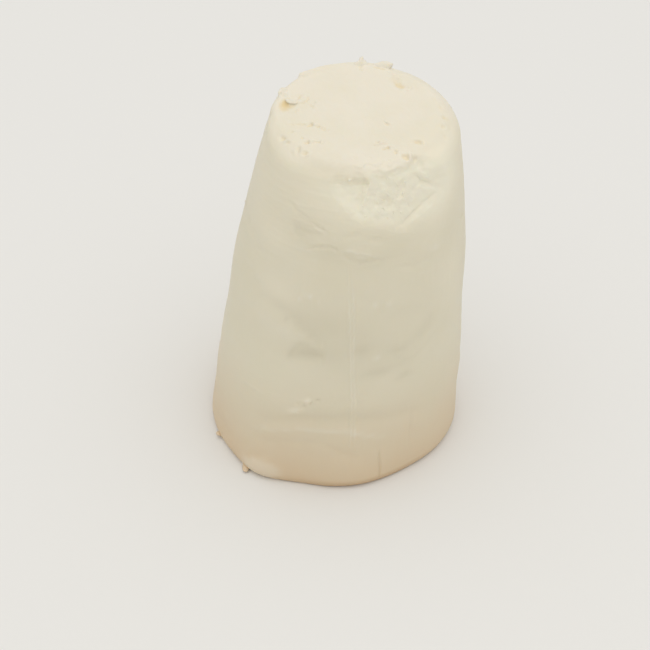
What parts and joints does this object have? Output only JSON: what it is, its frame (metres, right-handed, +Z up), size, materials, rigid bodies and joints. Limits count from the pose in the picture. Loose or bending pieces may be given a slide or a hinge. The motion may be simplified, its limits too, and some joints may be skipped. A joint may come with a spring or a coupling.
{
  "type": "ricotta salata cheese",
  "caption": "A whole salted ricotta cheese: a tapered, leaning cone with a flat top, a torn place under the front of its rim and a flat base it stands on.",
  "frame": {"origin": "middle of the flat base that the cheese stands on", "axes": "+Z up along the cheese's height, -Y towards the front with the torn place under the rim, +X to the side that the top leans to"},
  "size_m": [0.0988, 0.0999, 0.142],
  "materials": {
    "pressed_ricotta": "matt, moist, pale ivory pressed curd with a faintly marbled skin"
  },
  "bodies": {
    "root": {"ricotta_cone": "pressed_ricotta"}
  },
  "joints": []
}
